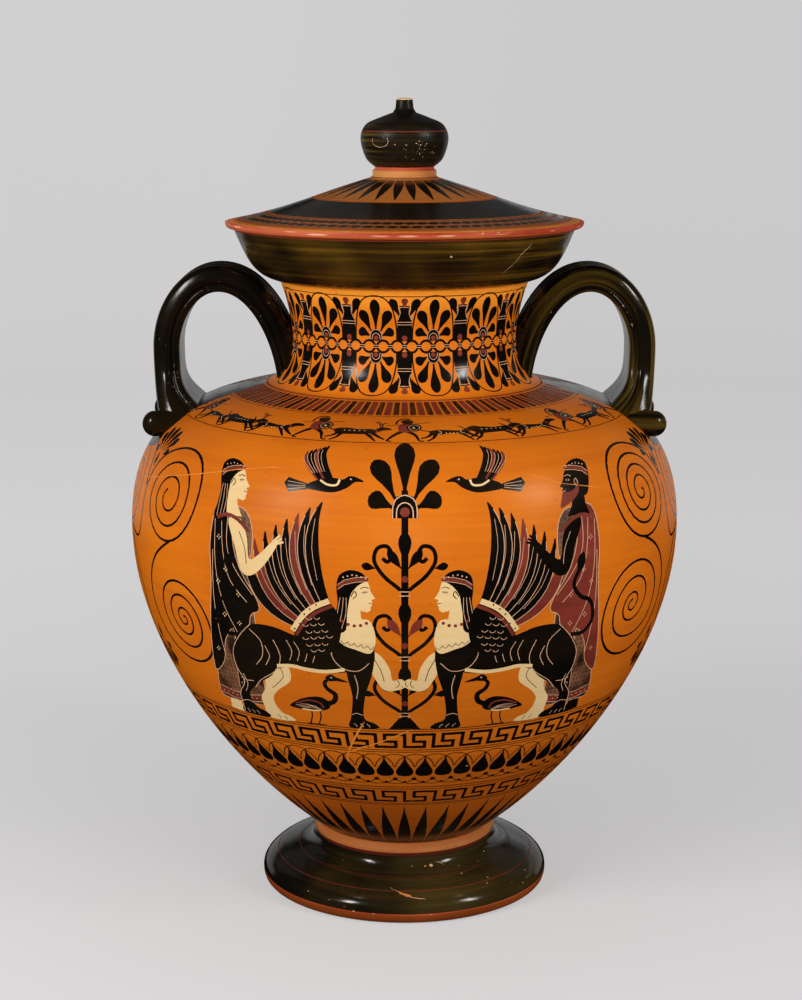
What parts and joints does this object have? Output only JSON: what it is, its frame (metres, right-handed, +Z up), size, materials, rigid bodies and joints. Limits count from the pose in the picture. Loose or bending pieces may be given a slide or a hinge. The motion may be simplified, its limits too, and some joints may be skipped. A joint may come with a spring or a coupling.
{
  "type": "lidded neck amphora",
  "caption": "Wide-shouldered painted clay jar on a low disc foot, with a separate neck, two upright reeded handles and a loose knobbed lid.",
  "frame": {"origin": "middle of the underside of the foot, on the surface that the jar stands on", "axes": "+Z up along the axis of the jar, handles towards +X and -X, main side of the painting towards -Y"},
  "size_m": [0.3834, 0.3834, 0.5575],
  "materials": {
    "painted_clay": "orange fired clay painted with satin black gloss, added dark red and cream white",
    "lid_gloss": "satin black gloss over orange clay, with rays, leaves and a worn red rim"
  },
  "bodies": {
    "root": {"vessel": "painted_clay", "lid": "lid_gloss"}
  },
  "joints": []
}
